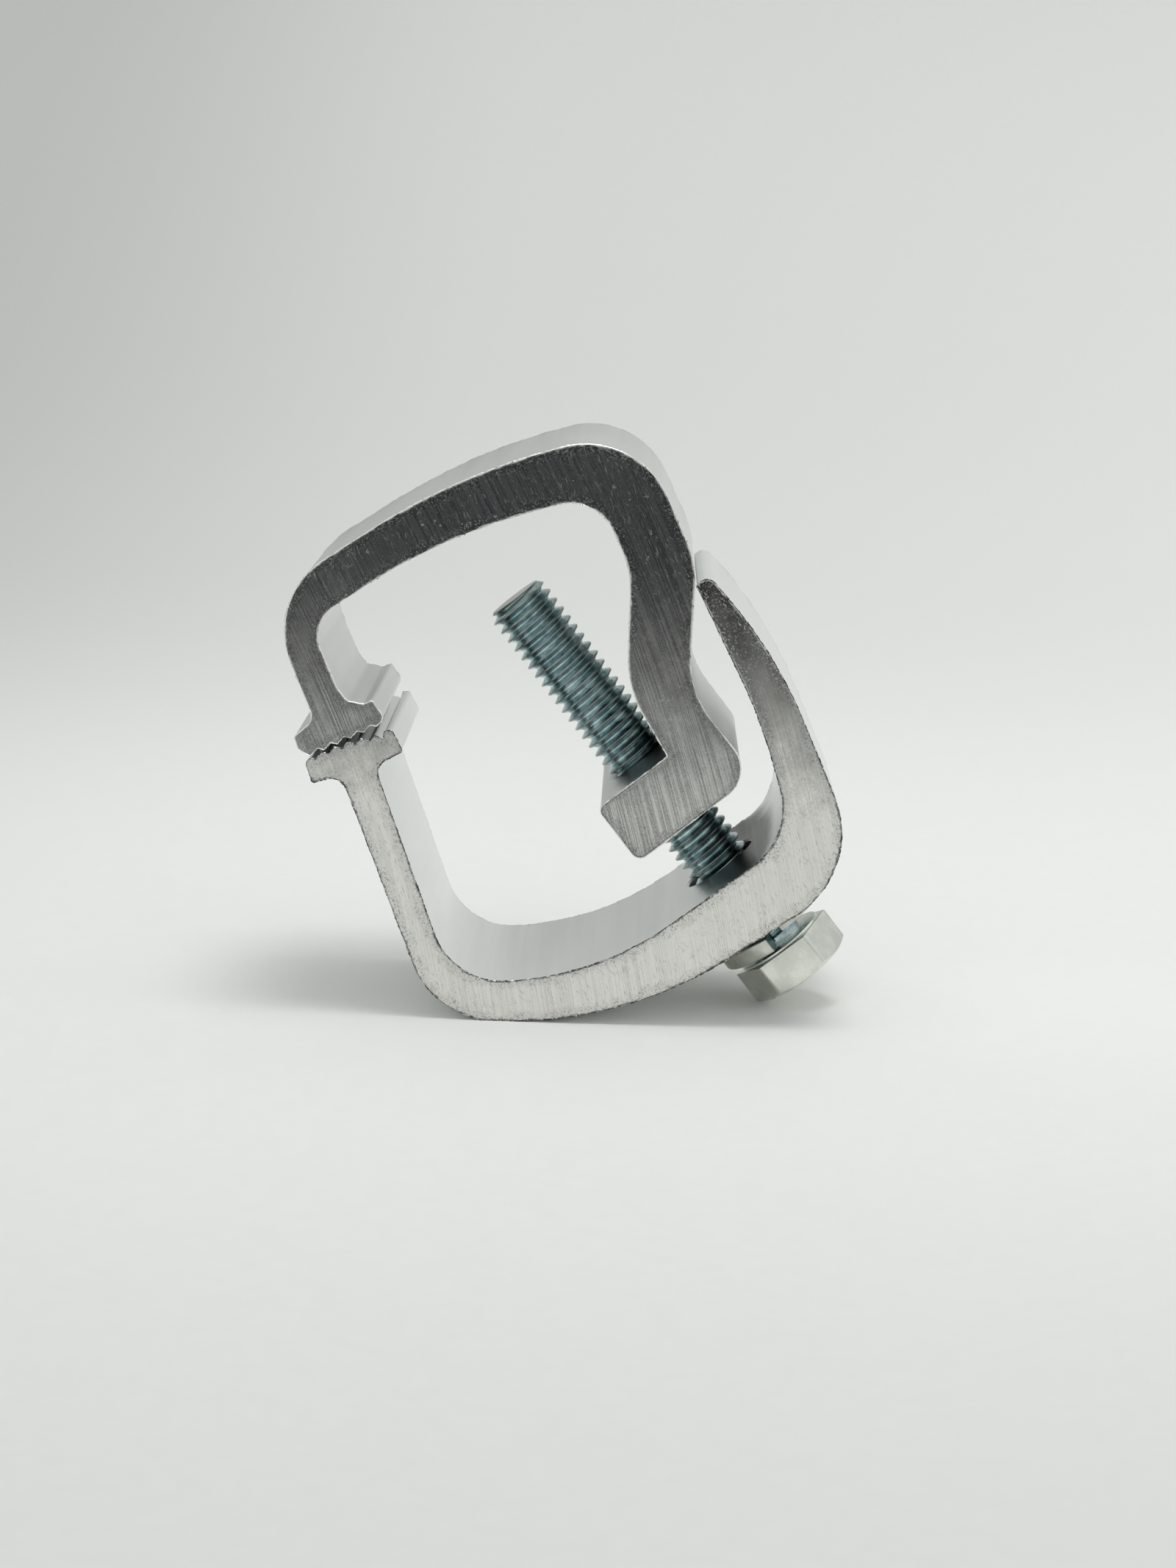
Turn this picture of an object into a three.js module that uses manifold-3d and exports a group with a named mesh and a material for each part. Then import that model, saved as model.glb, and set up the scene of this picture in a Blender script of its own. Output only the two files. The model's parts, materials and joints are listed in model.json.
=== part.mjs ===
// Camper-cap clamp: two sawn aluminium extrusions drawn together by one hex bolt.
//
// Millimetres. The clamp is drawn upright: x runs across it from the grip pads to the arm, y runs
// along the sawn length of the extrusions, and z runs up the bolt's axis, with z = 0 at the bearing
// face of the bolt's head. The whole clamp is then leant over, so that it rests as it does on a
// table: on the rounded heel of the lower jaw and on one corner of the bolt's head.

import * as THREE from 'three';
import { mergeVertices } from 'three/addons/utils/BufferGeometryUtils.js';
import Module from 'manifold-3d';

const wasm = await Module();
wasm.setup();

// ---- Driving dimensions -------------------------------------------------------------------

const sawnLength = 38.1;          // both extrusions, 1 1/2 in
const arcTolerance = 0.03;        // how far a chord may stray from a round stretch
const runPast = 1;                // how far a cutter or a core passes the face it meets
const mergeDistance = 1e-5;       // points closer than this are one point

const bolt = {                    // 3/8-16 UNC x 2 1/2 in, threaded up to the head
  majorRadius: 4.72,
  minorRadius: 3.8,
  pitch: 25.4 / 16,
  length: 62.7,                   // bearing face to tip
  tipChamfer: 0.9,
  neck: 1.2,                      // plain stretch below the head
  acrossFlats: 13.9,              // 9/16 in head
  headHeight: 5.95,               // with its washer face
  washerFace: 0.4,
  edgeRounding: 0.6,
};
const hexCornerRadius = bolt.acrossFlats / Math.sqrt(3);
const washerFaceRadius = 0.475 * bolt.acrossFlats;
const headChamferSlope = Math.tan(THREE.MathUtils.degToRad(30));
const crestWidth = bolt.pitch / 8;
const threadFacets = 18;
const holeFacets = 32;
const headFacets = 48;
const threadClearance = 0.2;      // radial, between the bolt and the tapped foot

const lockWasher = {              // for a 3/8 in bolt, open, so its ends stand apart
  insideRadius: 4.9,
  width: 3.4,
  thickness: 2.35,
  freeHeight: 4.3,
  gapAngle: THREE.MathUtils.degToRad(11),
  gapCentre: THREE.MathUtils.degToRad(-82),
  play: 0.2,                      // between the washer and the bearing face below it
  segments: 40,
};
const boltHoleRadius = 11.1 / 2;  // 7/16 in, through the web of the lower jaw

const foot = { left: -7.0, right: 13.2, bottom: 24.2, thickness: 9.4 };
const footTop = foot.bottom + foot.thickness;
const countersinkDepth = 0.8;

// ---- Outlines -----------------------------------------------------------------------------

// A corner of an outline: where its two sides would meet, and the radius that rounds it.
function corner(x, z, radius = 0) {
  return { point: new THREE.Vector2(x, z), radius };
}

// A grip pad's serrations, clockwise along the outline from one root to the last. Each tooth
// climbs to its crest over `lead` of its pitch, then falls to the next root. The line of the roots
// bows outward by `crown` in the middle.
function serrations(from, to, { teeth, depth, lead, crown }) {
  const start = new THREE.Vector2(...from);
  const step = new THREE.Vector2(...to).sub(start).divideScalar(teeth);
  const outward = new THREE.Vector2(-step.y, step.x).normalize();
  const rootAt = (tooth) => {
    const bow = (4 * crown * tooth * (teeth - tooth)) / teeth ** 2;
    return start.clone().addScaledVector(step, tooth).addScaledVector(outward, bow);
  };
  const corners = [];
  for (let tooth = 0; tooth < teeth; tooth += 1) {
    const crest = rootAt(tooth).lerp(rootAt(tooth + 1), lead).addScaledVector(outward, depth);
    corners.push(corner(...rootAt(tooth)), corner(...crest));
  }
  return [...corners, corner(...to)];
}

// The arc that rounds one corner: its centre, and where it leaves both sides.
function roundedCorner(before, at, after) {
  const toBefore = before.point.clone().sub(at.point).normalize();
  const toAfter = after.point.clone().sub(at.point).normalize();
  const halfAngle = Math.acos(THREE.MathUtils.clamp(toBefore.dot(toAfter), -1, 1)) / 2;
  const inward = toBefore.clone().add(toAfter).normalize();
  const centre = at.point.clone().addScaledVector(inward, at.radius / Math.sin(halfAngle));
  const reach = at.radius / Math.tan(halfAngle);
  const start = at.point.clone().addScaledVector(toBefore, reach);
  const end = at.point.clone().addScaledVector(toAfter, reach);
  return { centre, start, end };
}

// The points of a closed outline, with chords along its rounded corners.
function outlinePoints(corners) {
  const points = [];
  corners.forEach((at, i) => {
    if (at.radius === 0) {
      points.push(at.point);
      return;
    }
    const before = corners.at(i - 1);
    const after = corners[(i + 1) % corners.length];
    const { centre, start, end } = roundedCorner(before, at, after);
    const from = start.clone().sub(centre);
    const to = end.clone().sub(centre);
    const sweep = Math.atan2(from.cross(to), from.dot(to));
    const chordAngle = 2 * Math.acos(1 - arcTolerance / at.radius);
    const chords = Math.max(2, Math.ceil(Math.abs(sweep) / chordAngle));
    for (let k = 0; k <= chords; k += 1) {
      points.push(from.clone().rotateAround(new THREE.Vector2(), (sweep * k) / chords).add(centre));
    }
  });
  return points;
}

// The lower jaw: a serrated pad on a slanting wall, a round heel, a flat web for the bolt, and a
// long tapering arm that leans on the upper jaw's back.
const heel = corner(-43.5, 23.4, 12.5);
const lowerJawCorners = [
  ...serrations([-33.8, 62.8], [-24.6, 59.5], { teeth: 5, depth: 0.65, lead: 0.48, crown: 0.35 }),
  corner(-23.7, 60.1, 0.3),
  corner(-22.9, 59.6, 0.6),
  corner(-23.5, 56.3, 0.5),
  corner(-27.9, 57.2, 2.1),       // under the pad, inside
  corner(-38.3, 26.0, 10),        // inside the heel
  corner(-21.0, 14.7, 43),
  corner(12.3, 13.9, 10),         // web to arm, inside
  corner(18.7, 30.0, 75),
  corner(22.8, 50.2, 0.6),        // tip of the arm
  corner(24.95, 50.4, 1.5),
  corner(26.0, 36.3, 66),
  corner(17.3, 3.9, 14),          // web to arm, outside
  corner(-21.5, 6.9, 55),
  heel,
  corner(-32.4, 59.0, 2.4),       // under the pad, outside
  corner(-36.3, 60.5, 0.5),
  corner(-35.3, 63.5, 1),
  corner(-34.3, 63.4, 0.3),
];

// The upper jaw: a serrated pad that hooks over, a long bowed bar, a back leg that steps in
// towards the bolt, and the thick foot that the bolt is screwed into.
const upperJawCorners = [
  corner(-24.3, 61.4),
  ...serrations([-24.9, 62.0], [-32.7, 63.9], { teeth: 4, depth: 0.58, lead: 0.62, crown: 0 }),
  corner(-34.2, 63.65, 0.3),
  corner(-34.95, 65.4, 0.9),
  corner(-34.3, 67.15, 0.5),
  corner(-30.6, 67.3, 2),         // over the pad, outside
  corner(-29.4, 71.7, 20),
  corner(-25.7, 84.9, 12),        // hook, outside
  corner(5.6, 82.2, 90),
  corner(29.6, 72.4, 12.4),       // bar to back leg, outside
  corner(24.7, 52.7, 12.4),
  corner(foot.right, 39.2, 13.3),
  corner(foot.right, foot.bottom, 4.6),
  corner(foot.left, foot.bottom, 1.4),
  corner(foot.left, footTop, 1.1),
  corner(5.3, footTop, 0.3),
  corner(6.6, 44.6, 16),
  corner(16.9, 57.2, 14),
  corner(19.6, 68.5, 6.6),        // bar to back leg, inside
  corner(-1.2, 76.7, 82),
  corner(-22.8, 78.4, 4.9),       // hook, inside
  corner(-25.4, 68.8, 6),
  corner(-25.35, 66.6, 1),        // over the pad, inside
  corner(-23.8, 64.9, 0.8),
  corner(-22.5, 64.6, 0.4),
  corner(-22.7, 61.5, 1.1),
];

// ---- Solids -------------------------------------------------------------------------------

function toSolid(geometry) {
  const bare = geometry.clone();
  bare.deleteAttribute('normal');
  bare.deleteAttribute('uv');
  const merged = mergeVertices(bare, mergeDistance);
  return new wasm.Manifold(new wasm.Mesh({
    numProp: 3,
    vertProperties: new Float32Array(merged.attributes.position.array),
    triVerts: new Uint32Array(merged.index.array),
  }));
}

function toGeometry(solid) {
  const { vertProperties, triVerts } = solid.getMesh();
  const geometry = new THREE.BufferGeometry();
  geometry.setAttribute('position', new THREE.BufferAttribute(vertProperties, 3));
  geometry.setIndex(new THREE.BufferAttribute(triVerts, 1));
  return geometry;
}

// An outline drawn in x and z, sawn to length and centred along y.
function extrusion(corners) {
  const shape = new THREE.Shape(outlinePoints(corners));
  const geometry = new THREE.ExtrudeGeometry(shape, { depth: sawnLength, bevelEnabled: false });
  geometry.rotateX(Math.PI / 2).translate(0, sawnLength / 2, 0);
  return toSolid(geometry);
}

// A body turned about the bolt's axis, from [radius, z] pairs that start and end on the axis.
function turned(profile, facets) {
  const points = profile.map(([radius, z]) => new THREE.Vector2(radius, z));
  return toSolid(new THREE.LatheGeometry(points, facets).rotateX(Math.PI / 2));
}

// A right-hand screw thread from z = bottom, whole turns high: three rows of points to a turn, at
// the crest's two edges and the root, wound so that every row climbs one pitch on its way round.
function screw(majorRadius, minorRadius, bottom, turns) {
  const rows = [
    { radius: majorRadius, rise: 0 },
    { radius: majorRadius, rise: crestWidth },
    { radius: minorRadius, rise: (crestWidth + bolt.pitch) / 2 },
  ];
  const rowCount = turns * rows.length;
  const positions = [];
  const indexOf = new Map();
  const addPoint = (row, column) => {
    const { radius, rise } = rows[row % rows.length];
    const angle = (2 * Math.PI * column) / threadFacets;
    const turn = Math.floor(row / rows.length) + column / threadFacets;
    indexOf.set(`${row},${column}`, positions.length / 3);
    positions.push(radius * Math.cos(angle), radius * Math.sin(angle), bottom + rise + turn * bolt.pitch);
  };
  for (let row = 0; row <= rowCount; row += 1) {
    for (let column = 0; column < threadFacets; column += 1) addPoint(row, column);
  }
  for (let row = rowCount + 1; row <= rowCount + rows.length; row += 1) addPoint(row, 0);

  // Past the last column the thread meets its own first column, one turn higher.
  const at = (row, column) => (column < threadFacets
    ? indexOf.get(`${row},${column}`)
    : indexOf.get(`${row + rows.length},0`));
  const triangles = [];
  for (let row = 0; row < rowCount; row += 1) {
    for (let column = 0; column < threadFacets; column += 1) {
      const [a, b] = [at(row, column), at(row, column + 1)];
      const [c, d] = [at(row + 1, column + 1), at(row + 1, column)];
      triangles.push(a, b, c, a, c, d);
    }
  }
  // Each end is a fan from the axis to the last winding and the step between its two ends.
  const addEnd = (row, height, flip) => {
    const rim = [];
    for (let column = 0; column < threadFacets; column += 1) rim.push(at(row, column));
    for (let step = rows.length; step > 0; step -= 1) rim.push(at(row + step, 0));
    const centre = positions.length / 3;
    positions.push(0, 0, height);
    rim.forEach((from, i) => {
      const to = rim[(i + 1) % rim.length];
      triangles.push(...(flip ? [centre, to, from] : [centre, from, to]));
    });
  };
  addEnd(0, bottom + bolt.pitch / 2, true);
  addEnd(rowCount, bottom + (turns + 0.5) * bolt.pitch, false);

  const geometry = new THREE.BufferGeometry();
  geometry.setAttribute('position', new THREE.Float32BufferAttribute(positions, 3));
  geometry.setIndex(triangles);
  return toSolid(geometry);
}

// ---- Pieces -------------------------------------------------------------------------------

function makeLowerJaw() {
  const drill = turned([
    [0, 0],
    [boltHoleRadius, 0],
    [boltHoleRadius, foot.bottom],
    [0, foot.bottom],
  ], holeFacets);
  return extrusion(lowerJawCorners).subtract(drill);
}

function makeUpperJaw() {
  const crest = bolt.majorRadius + threadClearance;
  const root = bolt.minorRadius + threadClearance;
  const firstTurn = Math.floor(foot.bottom / bolt.pitch) - 2;
  const lastTurn = Math.ceil(footTop / bolt.pitch) + 1;
  const tap = screw(crest, root, firstTurn * bolt.pitch, lastTurn - firstTurn);
  const countersink = turned([
    [0, foot.bottom - runPast],
    [crest + countersinkDepth + runPast, foot.bottom - runPast],
    [crest - countersinkDepth, foot.bottom + countersinkDepth],
    [0, foot.bottom + countersinkDepth],
  ], holeFacets);
  return extrusion(upperJawCorners).subtract(tap).subtract(countersink);
}

// The hexagon has corners on the x axis, so two of its flats are parallel to the sawn faces.
function makeBoltHead() {
  const corners = [];
  for (let i = 0; i < 6; i += 1) {
    const angle = (i * Math.PI) / 3;
    const x = hexCornerRadius * Math.cos(angle);
    const y = hexCornerRadius * Math.sin(angle);
    corners.push(corner(x, y, bolt.edgeRounding));
  }
  const hexagon = new THREE.ExtrudeGeometry(new THREE.Shape(outlinePoints(corners)), {
    depth: bolt.headHeight - bolt.washerFace,
    bevelEnabled: false,
  });
  hexagon.translate(0, 0, -bolt.headHeight);
  const chamfer = turned([
    [0, -bolt.headHeight],
    [washerFaceRadius, -bolt.headHeight],
    [hexCornerRadius + runPast, headChamferTop(hexCornerRadius + runPast)],
    [hexCornerRadius + runPast, 0],
    [0, 0],
  ], headFacets);
  const washerFace = turned([
    [0, -bolt.washerFace - runPast],
    [washerFaceRadius, -bolt.washerFace - runPast],
    [washerFaceRadius, 0],
    [0, 0],
  ], headFacets);
  return toSolid(hexagon).intersect(chamfer).add(washerFace);
}

// How high the cone that chamfers the head's outer end stands at a radius.
function headChamferTop(radius) {
  return -bolt.headHeight + (radius - washerFaceRadius) * headChamferSlope;
}

function makeBolt() {
  const turns = Math.ceil(bolt.length / bolt.pitch) + 1;
  const beyondThread = bolt.majorRadius + threadClearance;
  const blank = turned([
    [0, bolt.neck],
    [bolt.minorRadius, bolt.neck],
    [beyondThread, bolt.neck + beyondThread - bolt.minorRadius],
    [beyondThread, bolt.length - bolt.tipChamfer - threadClearance],
    [bolt.majorRadius - bolt.tipChamfer, bolt.length],
    [0, bolt.length],
  ], threadFacets * 2);
  const thread = screw(bolt.majorRadius, bolt.minorRadius, 0, turns).intersect(blank);
  const neck = turned([
    [0, -runPast],
    [bolt.minorRadius, -runPast],
    [bolt.minorRadius, bolt.neck + runPast],
    [0, bolt.neck + runPast],
  ], threadFacets);
  return makeBoltHead().add(thread).add(neck);
}

// A split ring whose ends stand apart, wound left-handed so that it bites a right-hand thread.
function makeLockWasher() {
  const { insideRadius, width, thickness, freeHeight, gapAngle, gapCentre } = lockWasher;
  const outsideRadius = insideRadius + width;
  const section = [
    new THREE.Vector2(insideRadius, 0),
    new THREE.Vector2(outsideRadius, 0),
    new THREE.Vector2(outsideRadius, thickness),
    new THREE.Vector2(insideRadius, thickness),
    new THREE.Vector2(insideRadius, 0),
  ];
  const ring = toSolid(new THREE.LatheGeometry(section, lockWasher.segments).rotateX(Math.PI / 2));
  const cut = new THREE.BoxGeometry(outsideRadius, outsideRadius * gapAngle, 3 * thickness);
  cut.translate(outsideRadius / 2 + insideRadius / 2, 0, 0).rotateZ(gapCentre);
  const geometry = toGeometry(ring.subtract(toSolid(cut)));

  // Lift every point by how far round it is, from the high end down to the low one.
  const position = geometry.attributes.position;
  const fullTurn = 2 * Math.PI;
  for (let i = 0; i < position.count; i += 1) {
    const angle = Math.atan2(position.getY(i), position.getX(i)) - gapCentre;
    const wayRound = THREE.MathUtils.euclideanModulo(angle, fullTurn) / fullTurn;
    const lift = lockWasher.play + (freeHeight - thickness) * (1 - wayRound);
    position.setZ(i, position.getZ(i) + lift);
  }
  return geometry;
}

// ---- Assembly -----------------------------------------------------------------------------

const sawnAluminium = new THREE.MeshStandardMaterial({ color: 0xbebdb8, roughness: 0.5, metalness: 1 });
const darkAluminium = new THREE.MeshStandardMaterial({ color: 0x8c8c8a, roughness: 0.45, metalness: 1 });
const zincPlate = new THREE.MeshStandardMaterial({ color: 0x9fb0ad, roughness: 0.35, metalness: 1 });
const springSteel = new THREE.MeshStandardMaterial({ color: 0xc4c6bb, roughness: 0.4, metalness: 1 });

function namedMesh(name, geometry, material) {
  const mesh = new THREE.Mesh(geometry, material);
  mesh.name = name;
  return mesh;
}

// How far the clamp leans for its heel and the lowest corner of its bolt head to share one floor:
// the slope of the line that touches both.
function restingLean() {
  const at = lowerJawCorners.indexOf(heel);
  const { centre } = roundedCorner(lowerJawCorners[at - 1], heel, lowerJawCorners[at + 1]);
  const tipRadius = hexCornerRadius - bolt.edgeRounding * (2 / Math.sqrt(3) - 1);
  const headCorner = new THREE.Vector2(-tipRadius, headChamferTop(tipRadius));
  const apart = centre.clone().sub(headCorner);
  return Math.atan2(apart.x, apart.y) + Math.acos(heel.radius / apart.length());
}

const clamp = new THREE.Group();
clamp.add(
  namedMesh('lower_jaw', toGeometry(makeLowerJaw()), sawnAluminium),
  namedMesh('upper_jaw', toGeometry(makeUpperJaw()), darkAluminium),
  namedMesh('hex_bolt', toGeometry(makeBolt()), zincPlate),
  namedMesh('lock_washer', makeLockWasher(), springSteel),
);
clamp.rotation.y = -restingLean();

// Stand it on z = 0 with its footprint centred.
const box = new THREE.Box3().setFromObject(clamp, true);
const boxCentre = box.getCenter(new THREE.Vector3());
clamp.position.set(-boxCentre.x, -boxCentre.y, -box.min.z);

const part = new THREE.Group();
part.add(clamp);

export default part;
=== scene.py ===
"""The looks of a camper-cap clamp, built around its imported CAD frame.

Each jaw, the bolt and the lock washer are drawn upright in one design frame, in millimetres: x runs
across the clamp from the grip pads to the arm, y along the sawn length, and z up the bolt's axis
from the bearing face of its head. The frame's bolt joint says where that design frame lies and how
far it leans. The finished pieces are in metres.
"""

import json
import math
from types import SimpleNamespace

import bpy
from mathutils import Matrix, Vector, kdtree, noise
from mathutils.geometry import delaunay_2d_cdt


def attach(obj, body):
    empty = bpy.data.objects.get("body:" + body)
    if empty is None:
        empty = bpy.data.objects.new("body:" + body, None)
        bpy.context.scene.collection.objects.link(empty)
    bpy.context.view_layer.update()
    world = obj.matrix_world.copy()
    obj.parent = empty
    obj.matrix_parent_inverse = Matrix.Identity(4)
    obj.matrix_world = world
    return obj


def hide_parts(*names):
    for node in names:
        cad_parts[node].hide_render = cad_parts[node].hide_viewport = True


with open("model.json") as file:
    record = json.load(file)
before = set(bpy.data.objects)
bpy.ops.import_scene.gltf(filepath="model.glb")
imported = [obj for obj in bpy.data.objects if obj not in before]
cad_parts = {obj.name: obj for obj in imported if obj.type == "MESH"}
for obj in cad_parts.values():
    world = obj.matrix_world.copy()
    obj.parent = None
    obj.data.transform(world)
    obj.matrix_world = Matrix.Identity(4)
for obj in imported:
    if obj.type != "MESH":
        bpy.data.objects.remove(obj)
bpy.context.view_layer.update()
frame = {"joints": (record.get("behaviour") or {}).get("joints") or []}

# ---- Driving dimensions: the CAD part's own, in millimetres ---------------------------------

MM = 0.001
SAWN_LENGTH = 38.1
RUN_PAST = 1.0                  # how far a cutter passes the face it meets
THREAD_CLEARANCE = 0.2

BOLT = SimpleNamespace(
    major_radius=4.72,
    minor_radius=3.8,
    pitch=25.4 / 16,
    length=62.7,
    tip_chamfer=0.9,
    neck=1.2,
    across_flats=13.9,
    head_height=5.95,
    washer_face=0.4,
    edge_rounding=0.6,
)
WASHER_FACE_RADIUS = 0.475 * BOLT.across_flats
HEAD_CHAMFER_SLOPE = math.tan(math.radians(30))

LOCK_WASHER = SimpleNamespace(
    inside_radius=4.9,
    width=3.4,
    thickness=2.35,
    free_height=4.3,
    gap_angle=math.radians(11),
    gap_centre=math.radians(-82),
    play=0.2,
)
BOLT_HOLE_RADIUS = 11.1 / 2

FOOT = SimpleNamespace(left=-7.0, right=13.2, bottom=24.2, top=33.6)
COUNTERSINK_DEPTH = 0.8
TAPPED_EDGE_BREAK = 0.3
HOLE_EDGE_BREAK = 0.25

# How fine the meshes are.
CHORD_TOLERANCE = 0.003
OUTLINE_SPACING = 0.3
THREAD_COLUMNS = 72
THREAD_ROWS = 14
ROUND_FACETS = 96
SHARP_ANGLE = math.radians(32)


# ---- Outlines -------------------------------------------------------------------------------

def corner(x, z, radius=0.0):
    """A corner of an outline: where its two sides would meet, and the radius that rounds it."""
    return Vector((x, z)), radius


def serrations(start, end, teeth, depth, lead, crown, rounding=0.1):
    """A grip pad's teeth along a clockwise outline, from one root up to a crest and down to the next."""
    start, end = Vector(start), Vector(end)
    step = (end - start) / teeth
    outward = Vector((-step.y, step.x)).normalized()

    def root(tooth):
        bow = 4 * crown * tooth * (teeth - tooth) / teeth**2
        return start + tooth * step + bow * outward

    corners = []
    for tooth in range(teeth):
        crest = root(tooth).lerp(root(tooth + 1), lead) + depth * outward
        corners.append((root(tooth), rounding if tooth else 0.0))
        corners.append((crest, rounding))
    return [*corners, (end, 0.0)]


def rounded(before, point, after, radius, chords=None):
    """The points of the arc that rounds one corner."""
    to_before = (before - point).normalized()
    to_after = (after - point).normalized()
    half_angle = to_before.angle(to_after) / 2
    centre = point + (to_before + to_after).normalized() * radius / math.sin(half_angle)
    reach = radius / math.tan(half_angle)
    start = point + reach * to_before - centre
    end = point + reach * to_after - centre
    sweep = math.atan2(start.cross(end), start.dot(end))
    if chords is None:
        chords = max(3, math.ceil(abs(sweep) / (2 * math.acos(1 - CHORD_TOLERANCE / radius))))
    turns = [Matrix.Rotation(sweep * k / chords, 2) for k in range(chords + 1)]
    return [centre + turn @ start for turn in turns]


def outline(corners):
    """A closed outline's points, with chords round its corners and none far from the next."""
    points = []
    for i, (point, radius) in enumerate(corners):
        if radius == 0:
            points.append(point)
        else:
            after = corners[(i + 1) % len(corners)][0]
            points += rounded(corners[i - 1][0], point, after, radius)
    spaced = []
    for point, following in zip(points, points[1:] + points[:1]):
        gap = following - point
        pieces = max(1, math.ceil(gap.length / OUTLINE_SPACING))
        if gap.length > 0.1 * CHORD_TOLERANCE:
            spaced += [point + gap * k / pieces for k in range(pieces)]
    return spaced


LOWER_JAW = [
    *serrations((-33.8, 62.8), (-24.6, 59.5), teeth=5, depth=0.65, lead=0.48, crown=0.35),
    corner(-23.7, 60.1, 0.3),
    corner(-22.9, 59.6, 0.6),
    corner(-23.5, 56.3, 0.5),
    corner(-27.9, 57.2, 2.1),       # under the pad, inside
    corner(-38.3, 26.0, 10),        # inside the heel
    corner(-21.0, 14.7, 43),
    corner(12.3, 13.9, 10),         # web to arm, inside
    corner(18.7, 30.0, 75),
    corner(22.8, 50.2, 0.6),        # tip of the arm
    corner(24.95, 50.4, 1.5),
    corner(26.0, 36.3, 66),
    corner(17.3, 3.9, 14),          # web to arm, outside
    corner(-21.5, 6.9, 55),
    corner(-43.5, 23.4, 12.5),      # heel
    corner(-32.4, 59.0, 2.4),       # under the pad, outside
    corner(-36.3, 60.5, 0.5),
    corner(-35.3, 63.5, 1),
    corner(-34.3, 63.4, 0.3),
]

UPPER_JAW = [
    corner(-24.3, 61.4),
    *serrations((-24.9, 62.0), (-32.7, 63.9), teeth=4, depth=0.58, lead=0.62, crown=0),
    corner(-34.2, 63.65, 0.3),
    corner(-34.95, 65.4, 0.9),
    corner(-34.3, 67.15, 0.5),
    corner(-30.6, 67.3, 2),         # over the pad, outside
    corner(-29.4, 71.7, 20),
    corner(-25.7, 84.9, 12),        # hook, outside
    corner(5.6, 82.2, 90),
    corner(29.6, 72.4, 12.4),       # bar to back leg, outside
    corner(24.7, 52.7, 12.4),
    corner(FOOT.right, 39.2, 13.3),
    corner(FOOT.right, FOOT.bottom, 4.6),
    corner(FOOT.left, FOOT.bottom, 1.4),
    corner(FOOT.left, FOOT.top, 1.1),
    corner(5.3, FOOT.top, 0.3),
    corner(6.6, 44.6, 16),
    corner(16.9, 57.2, 14),
    corner(19.6, 68.5, 6.6),        # bar to back leg, inside
    corner(-1.2, 76.7, 82),
    corner(-22.8, 78.4, 4.9),       # hook, inside
    corner(-25.4, 68.8, 6),
    corner(-25.35, 66.6, 1),        # over the pad, inside
    corner(-23.8, 64.9, 0.8),
    corner(-22.5, 64.6, 0.4),
    corner(-22.7, 61.5, 1.1),
]


# ---- Solids, in the design frame's millimetres ----------------------------------------------

def solid(name, vertices, faces, materials=(), material_of_face=None):
    mesh = bpy.data.meshes.new(name)
    mesh.from_pydata([tuple(vertex) for vertex in vertices], [], faces)
    for material in materials:
        mesh.materials.append(material)
    if material_of_face:
        mesh.polygons.foreach_set("material_index", material_of_face)
    piece = bpy.data.objects.new(name, mesh)
    bpy.context.scene.collection.objects.link(piece)
    return piece


def combined(target, operation, tool):
    """target joined with or cut by tool, which is used up. A face that tool leaves takes target's
    first material."""
    tool.data.materials.clear()
    for material in target.data.materials:
        tool.data.materials.append(material)
    modifier = target.modifiers.new(operation, "BOOLEAN")
    modifier.operation = operation
    modifier.solver = "MANIFOLD"
    modifier.object = tool
    bpy.context.view_layer.update()
    made = target.evaluated_get(bpy.context.evaluated_depsgraph_get())
    mesh = bpy.data.meshes.new_from_object(made)
    target.modifiers.clear()
    target.data = mesh
    bpy.data.objects.remove(tool)
    return target


def turned(name, profile, tilt=0.0):
    """A body turned about the bolt's axis, from (radius, z) pairs that start and end on the axis.
    tilt leans it about y, round the origin."""
    vertices = [(0, 0, profile[0][1])]
    for radius, z in profile[1:-1]:
        for k in range(ROUND_FACETS):
            angle = 2 * math.pi * k / ROUND_FACETS
            vertices.append((radius * math.cos(angle), radius * math.sin(angle), z))
    vertices.append((0, 0, profile[-1][1]))
    last = len(vertices) - 1
    faces = []
    for k in range(ROUND_FACETS):
        following = (k + 1) % ROUND_FACETS
        faces.append((0, 1 + following, 1 + k))
        for ring in range(len(profile) - 3):
            low, high = 1 + ring * ROUND_FACETS, 1 + (ring + 1) * ROUND_FACETS
            faces.append((low + k, low + following, high + following, high + k))
        top = 1 + (len(profile) - 3) * ROUND_FACETS
        faces.append((top + k, top + following, last))
    piece = solid(name, vertices, faces)
    piece.data.transform(Matrix.Rotation(tilt, 4, "Y"))
    return piece


def thread_profile(clearance):
    """One pitch of a thread as (radius, rise) pairs: a flat crest, straight flanks and a round root."""
    depth = BOLT.major_radius - BOLT.minor_radius
    crest_half = BOLT.pitch / 16
    flank = depth * math.tan(math.radians(30))
    softness = 0.1

    def ramp(x):
        """0 below zero and x above it, with a smooth turn between."""
        if abs(x) >= softness:
            return max(x, 0.0)
        return (x + softness) ** 2 / (4 * softness)

    rows = []
    for row in range(THREAD_ROWS):
        rise = BOLT.pitch * row / THREAD_ROWS
        from_crest = min(rise, BOLT.pitch - rise)
        share = (crest_half + flank - from_crest) / flank
        height = ramp(share) - ramp(share - 1)
        rows.append((BOLT.minor_radius + clearance + depth * height, rise + crest_half))
    return rows


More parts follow.
